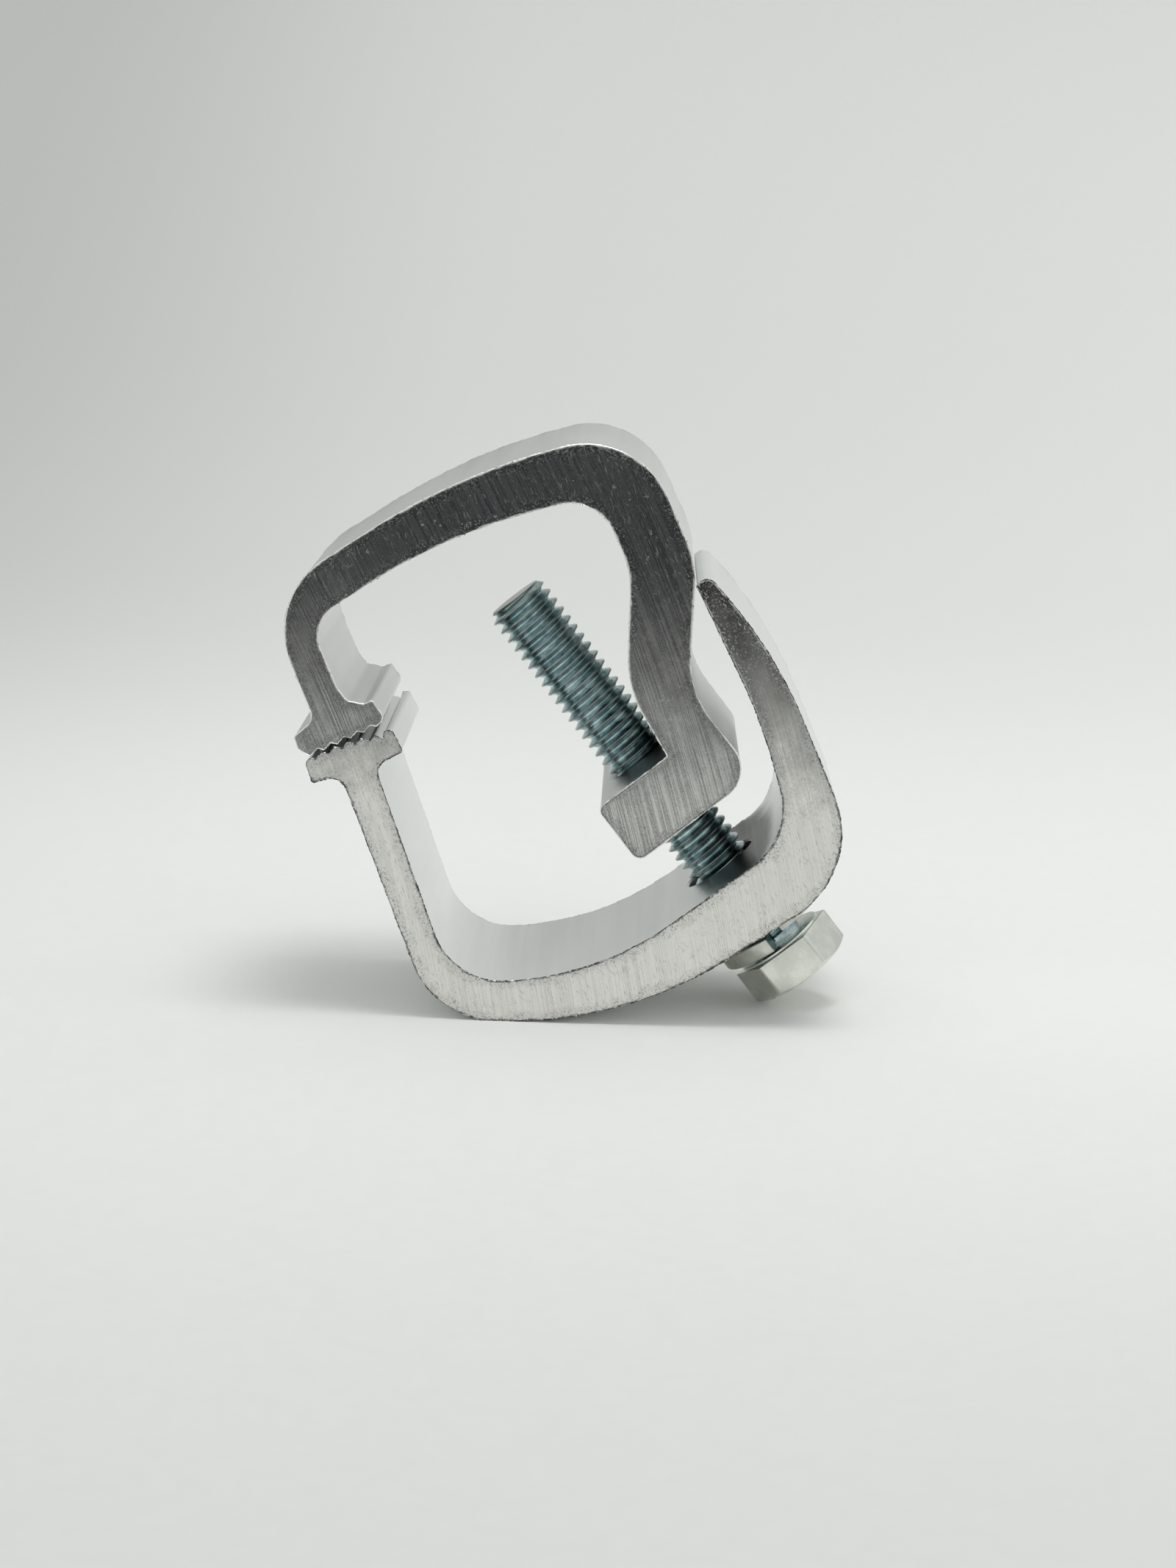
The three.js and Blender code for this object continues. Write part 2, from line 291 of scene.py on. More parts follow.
def screw(name, clearance, bottom, turns):
    """A right-hand thread from z = bottom, whole turns high. Each row climbs a pitch as it goes round."""
    profile = thread_profile(clearance)
    row_count = turns * THREAD_ROWS
    vertices, index_of = [], {}

    def add_point(row, column):
        radius, rise = profile[row % THREAD_ROWS]
        angle = 2 * math.pi * column / THREAD_COLUMNS
        climb = (row // THREAD_ROWS + column / THREAD_COLUMNS) * BOLT.pitch
        index_of[row, column] = len(vertices)
        vertices.append((radius * math.cos(angle), radius * math.sin(angle), bottom + rise + climb))

    for row in range(row_count + 1):
        for column in range(THREAD_COLUMNS):
            add_point(row, column)
    for row in range(row_count + 1, row_count + THREAD_ROWS + 1):
        add_point(row, 0)

    def at(row, column):
        """Past the last column the thread meets its own first column, one turn higher."""
        if column < THREAD_COLUMNS:
            return index_of[row, column]
        return index_of[row + THREAD_ROWS, 0]

    faces = []
    for row in range(row_count):
        for column in range(THREAD_COLUMNS):
            faces.append((at(row, column), at(row, column + 1),
                          at(row + 1, column + 1), at(row + 1, column)))

    def add_end(row, height, flip):
        """A fan from the axis to the last winding and the step between its two ends."""
        rim = [at(row, column) for column in range(THREAD_COLUMNS)]
        rim += [at(row + step, 0) for step in range(THREAD_ROWS, 0, -1)]
        centre = len(vertices)
        vertices.append((0, 0, height))
        for start, end in zip(rim, rim[1:] + rim[:1]):
            faces.append((centre, end, start) if flip else (centre, start, end))

    add_end(0, bottom + BOLT.pitch / 2, True)
    add_end(row_count, bottom + (turns + 0.5) * BOLT.pitch, False)
    return solid(name, vertices, faces)


# ---- Jaws -----------------------------------------------------------------------------------

# A sawn end's rings, from the flat face to the clean wall: how deep each is, how far it stands out
# of the outline, and its shares of the burr's growth outwards and past the face.
BURR_RINGS = (
    (0.0, -0.09, 0.0, 0.0),
    (0.0, -0.03, 0.2, 1.0),
    (0.05, 0.0, 1.0, 0.6),
    (0.2, 0.0, 0.5, 0.0),
    (0.5, 0.0, 0.0, 0.0),
)
BURR_OUT = 0.13
BURR_PAST = 0.07
FRONT_BURR, BACK_BURR = 3, 1    # how many rings at each end the burr's own finish reaches
WALL, SAWN, BURR = range(3)     # the materials of a jaw
CAP_SPACING = 0.6               # between the points inside a sawn face
CAP_MERGE = 1e-5                # points closer than this become one
INSIDE_ONLY = 1                 # what delaunay_2d_cdt keeps: the triangles inside the outline
BACK_END_SEED = 50              # sets the back end's burr apart from the front's
FROM_RIM = "from_rim"           # how far a point of a sawn face lies from its rim


def burr_size(point, seed):
    """How much burr the saw left at a point of the outline, mostly between 0 and 1."""
    place = Vector((point.x, point.y, seed))
    fine = noise.noise(place * 2.9)
    coarse = noise.noise(place * 0.5)
    return max(0.0, 0.4 + 0.8 * fine + 0.7 * coarse)


def cap(rim):
    """Triangles over a flat outline, with a grid of points inside it: the points that it adds, the
    triangles over rim + added, and how far each point lies from the rim."""
    count = len(rim)
    low = Vector((min(point.x for point in rim), min(point.y for point in rim)))
    high = Vector((max(point.x for point in rim), max(point.y for point in rim)))
    near_rim = kdtree.KDTree(count)
    for i, point in enumerate(rim):
        near_rim.insert(point.to_3d(), i)
    near_rim.balance()

    grid = []
    for column in range(math.ceil((high.x - low.x) / CAP_SPACING)):
        for row in range(math.ceil((high.y - low.y) / CAP_SPACING)):
            point = low + CAP_SPACING * Vector((column, row))
            if near_rim.find(point.to_3d())[2] > OUTLINE_SPACING:
                grid.append(point)
    found = delaunay_2d_cdt([*rim, *grid], [], [range(count)], INSIDE_ONLY, CAP_MERGE)
    places, _, triangles, origins, _, _ = found

    number_of, added = {}, []
    for triangle in triangles:
        for corner_index in triangle:
            if origins[corner_index] and origins[corner_index][0] < count:
                number_of[corner_index] = origins[corner_index][0]
            elif corner_index not in number_of:
                number_of[corner_index] = count + len(added)
                added.append(places[corner_index])
    distances = [0.0] * count + [near_rim.find(point.to_3d())[2] for point in added]
    return added, [[number_of[i] for i in triangle] for triangle in triangles], distances


def outward_directions(points):
    """The way out of a clockwise outline at each of its points."""
    directions = []
    for i, point in enumerate(points):
        following = points[(i + 1) % len(points)]
        along = (point - points[i - 1]).normalized() + (following - point).normalized()
        directions.append(Vector((-along.y, along.x)).normalized())
    return directions


def sawn_end(points, side, rings, seed):
    """The vertices round one end of an extrusion, ring by ring. side is -1 in front and 1 behind."""
    burrs = [burr_size(point, seed) for point in points]
    outwards = outward_directions(points)
    vertices = []
    for depth, out, grow, past in rings:
        for point, outward, burr in zip(points, outwards, burrs):
            place = point + (out + grow * BURR_OUT * burr) * outward
            y = side * (SAWN_LENGTH / 2 - depth + past * BURR_PAST * burr)
            vertices.append((place.x, y, place.y))
    return vertices


def extruded_jaw(name, corners, materials, seed):
    """An outline drawn out along y, with a burred rim and a flat sawn face at each end."""
    points = outline(corners)
    count = len(points)
    vertices = sawn_end(points, -1, BURR_RINGS, seed)
    vertices += sawn_end(points, 1, BURR_RINGS[::-1], seed + BACK_END_SEED)

    faces, material_of_face = [], []
    ring_count = 2 * len(BURR_RINGS)
    for ring in range(ring_count - 1):
        torn = ring < FRONT_BURR or ring >= ring_count - 1 - BACK_BURR
        for i in range(count):
            following = (i + 1) % count
            low, high = ring * count, (ring + 1) * count
            faces.append((low + i, low + following, high + following, high + i))
            material_of_face.append(BURR if torn else WALL)

    from_rim = [0.0] * len(vertices)
    for side, first in ((-1, 0), (1, (ring_count - 1) * count)):
        rim = [Vector((x, z)) for x, _, z in vertices[first:first + count]]
        added, triangles, distances = cap(rim)
        number_of = [*range(first, first + count), *range(len(vertices), len(vertices) + len(added))]
        vertices += [(point.x, side * SAWN_LENGTH / 2, point.y) for point in added]
        from_rim += distances[count:]
        for a, b, c in triangles:
            a, b, c = number_of[a], number_of[b], number_of[c]
            faces.append((a, b, c) if side < 0 else (c, b, a))
            material_of_face.append(SAWN)
    jaw = solid(name, vertices, faces, materials, material_of_face)
    jaw.data.attributes.new(FROM_RIM, "FLOAT", "POINT").data.foreach_set("value", from_rim)
    return jaw


def edge_break(name, z, slope, opening, radius, size):
    """A cone that breaks a hole's edge where it comes out of a face. The face crosses the axis at z,
    rises by slope along x, and opening is 1 where it looks up and -1 where it looks down."""
    profile = [
        (0, opening * RUN_PAST),
        (radius + size + RUN_PAST, opening * RUN_PAST),
        (radius - RUN_PAST, opening * -(size + RUN_PAST)),
        (0, opening * -(size + RUN_PAST)),
    ]
    cone = turned(name, profile if opening < 0 else profile[::-1], tilt=-math.atan(slope))
    cone.data.transform(Matrix.Translation((0, 0, z)))
    return cone


def side_at_axis(corners, below):
    """Where the straight side between two corners crosses the bolt's axis, and its slope: the
    highest or lowest of the outline's crossings under a height."""
    found = []
    for (start, _), (end, _) in zip(corners, corners[1:]):
        if start.x * end.x < 0 and max(start.y, end.y) < below:
            slope = (end.y - start.y) / (end.x - start.x)
            found.append((start.y - start.x * slope, slope))
    return min(found), max(found)


def make_lower_jaw(materials):
    jaw = extruded_jaw("lower_jaw_extrusion", LOWER_JAW, materials, seed=3)
    under, over = side_at_axis(LOWER_JAW, below=FOOT.bottom)
    drill = turned("drill", [
        (0, 0),
        (BOLT_HOLE_RADIUS, 0),
        (BOLT_HOLE_RADIUS, FOOT.bottom),
        (0, FOOT.bottom),
    ])
    combined(jaw, "DIFFERENCE", drill)
    combined(jaw, "DIFFERENCE", edge_break("under", *under, -1, BOLT_HOLE_RADIUS, HOLE_EDGE_BREAK))
    combined(jaw, "DIFFERENCE", edge_break("over", *over, 1, BOLT_HOLE_RADIUS, HOLE_EDGE_BREAK))
    return jaw


def make_upper_jaw(materials):
    jaw = extruded_jaw("upper_jaw_extrusion", UPPER_JAW, materials, seed=11)
    crest = BOLT.major_radius + THREAD_CLEARANCE
    first_turn = math.floor(FOOT.bottom / BOLT.pitch) - 2
    last_turn = math.ceil(FOOT.top / BOLT.pitch) + 1
    tap = screw("tap", THREAD_CLEARANCE, first_turn * BOLT.pitch, last_turn - first_turn)
    combined(jaw, "DIFFERENCE", tap)
    combined(jaw, "DIFFERENCE", edge_break("under", FOOT.bottom, 0, -1, crest, COUNTERSINK_DEPTH))
    combined(jaw, "DIFFERENCE", edge_break("over", FOOT.top, 0, 1, crest, TAPPED_EDGE_BREAK))
    return jaw


# ---- Bolt -----------------------------------------------------------------------------------

def hexagon_radius(angle):
    """How far the head's rounded hexagon reaches at an angle. Its corners are on the x axis."""
    apothem = BOLT.across_flats / 2
    rounding = BOLT.edge_rounding
    from_corner = (angle + math.pi / 6) % (math.pi / 3) - math.pi / 6
    from_flat = math.pi / 6 - abs(from_corner)
    if apothem * math.tan(from_flat) <= (apothem - rounding) * math.tan(math.pi / 6):
        return apothem / math.cos(from_flat)
    reach = (apothem - rounding) / math.cos(math.pi / 6)
    across = reach * math.sin(from_corner)
    return reach * math.cos(from_corner) + math.sqrt(rounding**2 - across**2)


def head_profile(reach):
    """The head's profile where its hexagon reaches that far, as (radius, z, rounding) corners."""
    crown_width, crown = 0.9, 0.04
    chamfer_top = -BOLT.head_height + (reach - WASHER_FACE_RADIUS) * HEAD_CHAMFER_SLOPE
    return [
        (0, -BOLT.head_height, 0),
        (WASHER_FACE_RADIUS - crown_width, -BOLT.head_height, 0.3),
        (WASHER_FACE_RADIUS, -BOLT.head_height + crown, 0.35),
        (reach, chamfer_top, 0.25),
        (reach, -BOLT.washer_face, 0.15),
        (WASHER_FACE_RADIUS, -BOLT.washer_face, 0.1),
        (WASHER_FACE_RADIUS, 0, 0.1),
        (0, 0, 0),
    ]


def make_head(materials):
    """The head, in columns around the axis that each follow the profile of their own radius."""
    columns, chords = 360, 4
    vertices, faces = [(0, 0, -BOLT.head_height), (0, 0, 0)], []
    for column in range(columns):
        angle = 2 * math.pi * column / columns
        profile = head_profile(hexagon_radius(angle))
        places = [Vector((radius, z)) for radius, z, _ in profile]
        for i in range(1, len(profile) - 1):
            for place in rounded(places[i - 1], places[i], places[i + 1], profile[i][2], chords):
                vertices.append((place.x * math.cos(angle), place.x * math.sin(angle), place.y))
    rings = (len(vertices) - 2) // columns
    for column in range(columns):
        near = 2 + column * rings
        far = 2 + (column + 1) % columns * rings
        faces.append((0, far, near))
        for ring in range(rings - 1):
            faces.append((near + ring, far + ring, far + ring + 1, near + ring + 1))
        faces.append((near + rings - 1, far + rings - 1, 1))
    return solid("zinc_hex_bolt", vertices, faces, materials)


def make_bolt(materials):
    beyond = BOLT.major_radius + THREAD_CLEARANCE
    blank = turned("blank", [
        (0, BOLT.neck),
        (BOLT.minor_radius, BOLT.neck),
        (beyond, BOLT.neck + beyond - BOLT.minor_radius),
        (beyond, BOLT.length - BOLT.tip_chamfer - THREAD_CLEARANCE),
        (BOLT.major_radius - BOLT.tip_chamfer, BOLT.length),
        (0, BOLT.length),
    ])
    turns = math.ceil(BOLT.length / BOLT.pitch) + 1
    thread = combined(screw("thread", 0, 0, turns), "INTERSECT", blank)
    neck = turned("neck", [
        (0, -RUN_PAST),
        (BOLT.minor_radius, -RUN_PAST),
        (BOLT.minor_radius, BOLT.neck + RUN_PAST),
        (0, BOLT.neck + RUN_PAST),
    ])
    bolt = combined(make_head(materials), "UNION", neck)
    return combined(bolt, "UNION", thread)


# ---- Lock washer ----------------------------------------------------------------------------

BAND, CUT_END = range(2)        # the materials of the lock washer
SPRING_BEND = 0.6               # below 1, the ring rises faster near its lower end
CUT_SLANT = math.tan(math.radians(15))
WIRE_ROUNDING = 0.3
END_BREAK = 0.1                 # the bevel round each cut end


def make_lock_washer(materials):
    """An open ring of rounded rectangular wire, wound left-handed. Its upper end is cut square and
    its lower end at a slant."""
    segments = 220
    outside_radius = LOCK_WASHER.inside_radius + LOCK_WASHER.width
    half_gap = outside_radius * LOCK_WASHER.gap_angle / 2
    sides = [
        Vector((LOCK_WASHER.inside_radius, 0)),
        Vector((outside_radius, 0)),
        Vector((outside_radius, LOCK_WASHER.thickness)),
        Vector((LOCK_WASHER.inside_radius, LOCK_WASHER.thickness)),
    ]
    section = []
    for i, point in enumerate(sides):
        section += rounded(sides[i - 1], point, sides[(i + 1) % len(sides)], WIRE_ROUNDING, chords=5)
    middle = sum(section, Vector((0, 0))) / len(section)
    break_share = END_BREAK / (2 * math.pi * middle.x)
    even_shares = [break_share + (1 - 2 * break_share) * k / segments for k in range(segments + 1)]
    shares = [0.0, *even_shares, 1.0]
    rise = LOCK_WASHER.free_height - LOCK_WASHER.thickness

    vertices = []
    for ring, share in enumerate(shares):
        inset = END_BREAK if ring in (0, len(shares) - 1) else 0.0
        for point in section:
            place = point + (middle - point).normalized() * inset
            edge = math.asin(half_gap / place.x)
            slant = CUT_SLANT * (place.x - LOCK_WASHER.inside_radius) / place.x
            round_from_gap = edge + share * (2 * math.pi - 2 * edge - slant)
            lift = LOCK_WASHER.play + rise * (1 - round_from_gap / (2 * math.pi)) ** SPRING_BEND
            angle = LOCK_WASHER.gap_centre + round_from_gap
            vertices.append((place.x * math.cos(angle), place.x * math.sin(angle), place.y + lift))

    count = len(section)
    faces = [tuple(range(count))]
    material_of_face = [CUT_END]
    for ring in range(len(shares) - 1):
        at_end = ring in (0, len(shares) - 2)
        for i in range(count):
            low, high = ring * count, (ring + 1) * count
            following = (i + 1) % count
            faces.append((low + i, high + i, high + following, low + following))
            material_of_face.append(CUT_END if at_end else BAND)
    faces.append(tuple(reversed(range((len(shares) - 1) * count, len(shares) * count))))
    material_of_face.append(CUT_END)
    return solid("split_lock_washer", vertices, faces, materials, material_of_face)


# ---- Where the design frame lies ------------------------------------------------------------

bolt_turn = next(joint for joint in frame["joints"] if joint["name"] == "bolt_turn")
design_up = -Vector(bolt_turn["axis"]).normalized()
design_across = Vector((0, 1, 0)).cross(design_up)
design_turn = Matrix((design_across, (0, 1, 0), design_up)).transposed()
design_origin = Vector(bolt_turn["pos_m"])
DESIGN_TO_WORLD = Matrix.Translation(design_origin) @ design_turn.to_4x4() @ Matrix.Scale(MM, 4)
WORLD_UP = design_turn.transposed() @ Vector((0, 0, 1))
WORLD_RIGHT = design_turn.transposed() @ Vector((1, 0, 0))


# ---- Materials ------------------------------------------------------------------------------

class Finish:
    """A material's node tree, with one short call for each node. place is the point in the design
    frame, in millimetres."""

    def __init__(self, name, metallic=1.0):
        self.material = bpy.data.materials.new(name)
        self.material.use_nodes = True
        self.tree = self.material.node_tree
        self.shader = self.tree.nodes["Principled BSDF"]
        self.shader.inputs["Metallic"].default_value = metallic
        coordinates = self.tree.nodes.new("ShaderNodeTexCoord")
        self.place = self.node("ShaderNodeMapping", {"vector_type": "TEXTURE"}, {
            "Vector": coordinates.outputs["Object"],
            "Location": design_origin,
            "Rotation": design_turn.to_euler(),
            "Scale": (MM, MM, MM),
        }).outputs["Vector"]

    def node(self, kind, settings, sockets):
        made = self.tree.nodes.new(kind)
        for name, value in settings.items():
            setattr(made, name, value)
        for key, value in sockets.items():
            if isinstance(value, bpy.types.NodeSocket):
                self.tree.links.new(value, made.inputs[key])
            else:
                made.inputs[key].default_value = value
        return made

    def vector(self, operation, a, b=None, **named):
        sockets = {0: a, **named}
        if b is not None:
            sockets[1] = b
        made = self.node("ShaderNodeVectorMath", {"operation": operation}, sockets)
        return made.outputs["Value" if operation in ("LENGTH", "DOT_PRODUCT", "DISTANCE") else "Vector"]

    def math(self, operation, a, b=0.0, clamp=False):
        made = self.node("ShaderNodeMath", {"operation": operation, "use_clamp": clamp}, {0: a, 1: b})
        return made.outputs[0]

    def product(self, a, b):
        return self.math("MULTIPLY", a, b)

    def sum(self, *terms):
        """Each term is a value, or a (value, weight) pair whose value is counted from 0.5."""
        total = 0.0
        for term in terms:
            if isinstance(term, tuple):
                value, weight = term
                term = self.product(self.math("SUBTRACT", value, 0.5), weight)
            total = self.math("ADD", total, term)
        return total

    def noise(self, place, scale=1.0, detail=2.0, roughness=0.5):
        sockets = {"Vector": place, "Scale": scale, "Detail": detail, "Roughness": roughness}
        return self.node("ShaderNodeTexNoise", {}, sockets).outputs["Fac"]

    def cells(self, place, scale):
        """How far each point is from the middle of its cell."""
        made = self.node("ShaderNodeTexVoronoi", {}, {"Vector": place, "Scale": scale})
        return made.outputs["Distance"]

    def range(self, value, low, high, to_low=0.0, to_high=1.0, kind="SMOOTHSTEP"):
        """value, eased from to_low at low to to_high at high, and level past both."""
        sockets = {"Value": value, "From Min": low, "From Max": high}
        sockets |= {"To Min": to_low, "To Max": to_high}
        settings = {"interpolation_type": kind, "clamp": True}
        return self.node("ShaderNodeMapRange", settings, sockets).outputs["Result"]

    def stretched(self, x, y, z):
        return self.vector("MULTIPLY", self.place, (x, y, z))

    def scratches(self, angle, threshold):
        """Thin straight marks in the sawn plane, leaning by an angle from the bolt's axis."""
        sockets = {"Vector": self.place, "Angle": angle}
        turned_place = self.node("ShaderNodeVectorRotate", {"rotation_type": "Y_AXIS"}, sockets)
        drawn_out = self.vector("MULTIPLY", turned_place.outputs[0], (5.0, 1.0, 0.55))
        return self.range(self.noise(drawn_out, 1.0, 2, 0.5), threshold, threshold + 0.07)

    def mix(self, share, a, b):
        """Colour a where share is 0 and colour b where it is 1."""
        made = self.node("ShaderNodeMix", {"data_type": "RGBA"}, {"Factor": share})
        socket_a, socket_b = made.inputs[6:8]       # the pair that takes colours
        for socket, value in ((socket_a, a), (socket_b, b)):
            if isinstance(value, bpy.types.NodeSocket):
                self.tree.links.new(value, socket)
            else:
                socket.default_value = (*value, 1)
        return made.outputs[2]

    def set(self, name, value):
        self.tree.links.new(value, self.shader.inputs[name])

    def bump(self, height, distance, strength=1.0):
        """distance is how far the surface moves, in millimetres, as height goes from 0 to 1."""
        sockets = {"Height": height, "Distance": distance * MM, "Strength": strength}
        made = self.node("ShaderNodeBump", {}, sockets)
        self.set("Normal", made.outputs["Normal"])


SAW_CENTRE = (-222.0, 0.0, 121.0)       # what the blade's arcs curve round
BRIGHT_METAL = (0.75, 0.76, 0.74)
# Bright specks on a burr: fresh metal, partly a painted glint.
FRESH_METAL_AND_GLINT = (0.95, 0.95, 0.93)
# The colour of the painted shade and dark reflection round the bolt.
PAINTED_SHADE_COLOUR = (0.07, 0.065, 0.065)

# How strongly each kind of wear shows in a sawn face's colour, and how deep it is in its bump.
SHOWS = SimpleNamespace(
    dark_dents=0.45, bright_dents=0.7, pits=0.4, nicks=0.5, specks=0.45, marks=0.4, torn_rim=0.7)
DEPTH = SimpleNamespace(pits=-1.5, nicks=-2.0, marks=-1.0, dents=8.0, grain=0.8)

# The leans of a sawn face's scratches from the bolt's axis, and how rare each lean is.
SCRATCHES = ((-0.35, 0.62), (0.12, 0.64), (0.6, 0.68), (-1.1, 0.7))


def saw_marks(finish, seed):
    """Noises drawn out along the arcs that the blade left: fine lines and broad bands."""
    from_centre = finish.vector("SUBTRACT", finish.place, SAW_CENTRE)
    flat = finish.vector("MULTIPLY", from_centre, (1, 0, 1))
    radius = finish.vector("LENGTH", flat)
    direction = finish.vector("NORMALIZE", flat)
    along = finish.vector("DOT_PRODUCT", direction, (0, 0, 1))
    side = finish.vector("DOT_PRODUCT", finish.place, (0, 1, 0))
    combine = {"X": finish.product(radius, 6.5), "Y": finish.product(along, 9.0)}
    combine["Z"] = finish.math("ADD", finish.math("SIGN", side), seed)
    lines_at = finish.node("ShaderNodeCombineXYZ", {}, combine).outputs[0]
    lines = finish.noise(lines_at, 1.0, 4, 0.65)
    bands = finish.noise(finish.vector("MULTIPLY", lines_at, (0.09, 0.6, 1)), 1.0, 3, 0.6)
    return lines, bands


def pits_in(finish):
    """Small round pits, in groups."""
    pits = finish.range(finish.cells(finish.stretched(1.3, 1.3, 1.0), 0.9), 0.12, 0.04)
    return finish.product(pits, finish.range(finish.noise(finish.place, 0.35, 2), 0.5, 0.62))


def nicks_in(finish, seed, dents):
    """Broken crescents, bent by the dents."""
    from_middle = finish.cells(finish.vector("ADD", finish.place, (seed, 0, 0)), 0.42)
    from_crescent = finish.math("ABSOLUTE", finish.sum(-0.13, from_middle, (dents, 0.5)))
    broken = finish.range(finish.noise(finish.place, 1.4, 2), 0.54, 0.62)
    return finish.product(finish.range(from_crescent, 0.045, 0.0), broken)


def scratches_in(finish):
    """The deepest of the scratches at each point."""
    marks = 0.0
    for angle, threshold in SCRATCHES:
        marks = finish.math("MAXIMUM", marks, finish.scratches(angle, threshold))
    return marks


def tears_at_rim(finish, from_rim, patches):
    """The rim's own tears, in patches."""
    tears = finish.noise(finish.place, 1.7, 4, 0.75)
    near_rim = finish.range(finish.sum(from_rim, (tears, 0.6)), 0.24, 0.06)
    return finish.product(near_rim, finish.range(patches, 0.38, 0.56))


def sawn_aluminium(name, seed, dark, light, dark_above, light_below, curve, contrast, peening,
                   dark_peening, mark):
    """A sawn end: arcs of the blade, faint bands, grain and nicks, peened along its rim, and painted
    shade that makes it darker higher up."""
    finish = Finish(name)
    lines, bands = saw_marks(finish, seed)
    mottle = finish.noise(finish.place, 0.3, 4, 0.6)
    grain = finish.noise(finish.place, 6.0, 3, 0.75)
    dents = finish.noise(finish.place, 3.4, 3, 0.75)
    patches = finish.noise(finish.place, 0.45, 3, 0.6)
    specks = finish.range(finish.noise(finish.place, 4.2, 2, 0.5), 0.68, 0.75)
    pits = pits_in(finish)
    nicks = nicks_in(finish, seed, dents)
    marks = scratches_in(finish)

    # Painted shade: the face is painted darker the higher it lies, standing in for its darker reflections
    # up there.
    height = finish.vector("DOT_PRODUCT", finish.place, WORLD_UP)
    uneven_height = finish.sum(height, (mottle, 14), (bands, 8), (dents, 16))
    lightness = finish.range(uneven_height, dark_above, light_below, kind="LINEAR")
    painted_light_tone = finish.math("POWER", lightness, curve)

    from_rim = finish.node("ShaderNodeAttribute", {"attribute_name": FROM_RIM}, {}).outputs["Fac"]
    rim = finish.range(finish.sum(from_rim, (patches, 3.0)), 1.9, 0.3)
    in_the_dark = finish.product(finish.math("SUBTRACT", 1.0, painted_light_tone), dark_peening)
    peened = finish.product(finish.math("MAXIMUM", rim, in_the_dark), peening)
    lines_seen = finish.product(finish.range(lines, 0.4, 0.66), finish.range(rim, 0, 1, 1, 0.3))
    bright_dents = finish.product(finish.range(dents, 0.52, 0.66), peened)
    dark_dents = finish.product(finish.range(dents, 0.5, 0.34), peened)

    gain = finish.sum(1.0, (lines_seen, contrast), (bands, 0.7 * contrast), (grain, 1.4 * contrast))
    gain = finish.math("SUBTRACT", gain, finish.product(dark_dents, SHOWS.dark_dents))
    gain = finish.math("SUBTRACT", gain, finish.product(pits, SHOWS.pits), clamp=True)
    colour = finish.vector("SCALE", finish.mix(painted_light_tone, dark, light), Scale=gain)
    bright = finish.sum(
        finish.product(bright_dents, SHOWS.bright_dents),
        finish.product(nicks, SHOWS.nicks),
        finish.product(specks, SHOWS.specks),
    )
    colour = finish.mix(bright, colour, BRIGHT_METAL)
    colour = finish.mix(finish.product(marks, SHOWS.marks), colour, mark)
    # Painted highlight and painted shade on the rim's real tears: light where the face is painted dark,
    # dark where it is painted light.
    rim_highlight_and_shade = finish.mix(painted_light_tone, (0.85, 0.86, 0.84), (0.06, 0.065, 0.065))
    torn_rim = finish.product(tears_at_rim(finish, from_rim, patches), SHOWS.torn_rim)
    finish.set("Base Color", finish.mix(torn_rim, colour, rim_highlight_and_shade))
    finish.set("Roughness", finish.sum(0.5, (grain, 0.25), (lines, 0.2)))

    hollows = finish.sum(
        finish.product(pits, DEPTH.pits),
        finish.product(nicks, DEPTH.nicks),
        finish.product(marks, DEPTH.marks),
    )
    dented = finish.product(finish.sum((dents, DEPTH.dents)), peened)
    finish.bump(finish.sum(lines_seen, (grain, DEPTH.grain), hollows, dented), 0.022)
    return finish.material


def bolt_painted_shade(finish, cloud):
    """Painted shade and painted dark reflection round the bolt: a dark oval patch on the metal, on the
    web and on top of the foot.
    """
    oval = finish.vector("SUBTRACT", finish.stretched(1, 0.3, 0), (3, 0, 0))
    reach = finish.sum(finish.vector("LENGTH", oval), (cloud, 3))
    oval_shade = finish.range(reach, BOLT.major_radius + 3.5, BOLT.major_radius + 0.7)
    height = finish.vector("DOT_PRODUCT", finish.place, (0, 0, 1))
    return finish.product(oval_shade, finish.range(height, FOOT.top + 4, FOOT.top + 2))


def extruded_aluminium(name, tint, seed):
    """The drawn wall of an extrusion: satin, with faint die lines along its length, and painted shade
    round the bolt.
    """
    finish = Finish(name)
    offset = finish.vector("ADD", finish.place, (seed, 0, 0))
    die_lines = finish.noise(finish.vector("MULTIPLY", offset, (1, 0.012, 1)), 5.0, 3, 0.7)
    bands = finish.noise(finish.vector("MULTIPLY", offset, (1, 0.02, 1)), 0.8, 2, 0.5)
    cloud = finish.noise(offset, 0.12, 3, 0.55)
    grain = finish.noise(offset, 9.0, 2, 0.6)
    shade = finish.sum(0.5, (die_lines, 0.5), (bands, 0.5), (cloud, 0.6))
    dim = tuple(0.92 * channel for channel in tint)
    colour = finish.mix(finish.range(shade, 0, 1), dim, tint)
    # Painted shade and painted dark reflection on the wall round the bolt.
    shade_round_bolt = finish.product(bolt_painted_shade(finish, cloud), 0.93)
    finish.set("Base Color", finish.mix(shade_round_bolt, colour, PAINTED_SHADE_COLOUR))
    finish.set("Roughness", finish.sum(0.36, (die_lines, 0.16), (cloud, 0.12), (grain, 0.1)))
    finish.bump(finish.sum(die_lines, (grain, 0.3)), 0.006, 0.7)
    return finish.material


